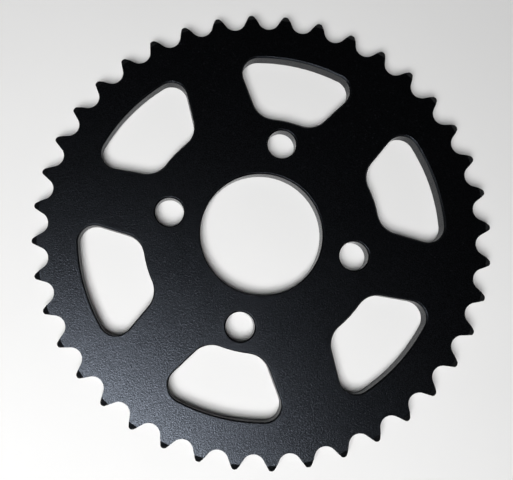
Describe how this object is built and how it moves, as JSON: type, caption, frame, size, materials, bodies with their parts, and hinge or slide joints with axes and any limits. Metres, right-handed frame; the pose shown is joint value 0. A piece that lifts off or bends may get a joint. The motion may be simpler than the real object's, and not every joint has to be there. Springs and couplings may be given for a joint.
{
  "type": "rear sprocket",
  "caption": "Flat toothed steel plate for a small motorcycle's rear wheel, with lightening windows, a hub bore and a ring of bolt holes, painted satin black.",
  "frame": {"origin": "centre of the bore on the back face, the face that seats on the wheel hub", "axes": "+Z along the wheel axis, from the back face to the front face; +Y passes through a window and a bolt hole; +X passes through a bolt hole"},
  "size_m": [0.1654, 0.1654, 0.0058],
  "materials": {
    "black_paint": "satin"
  },
  "bodies": {
    "root": {"sprocket_plate": "black_paint"}
  },
  "joints": []
}
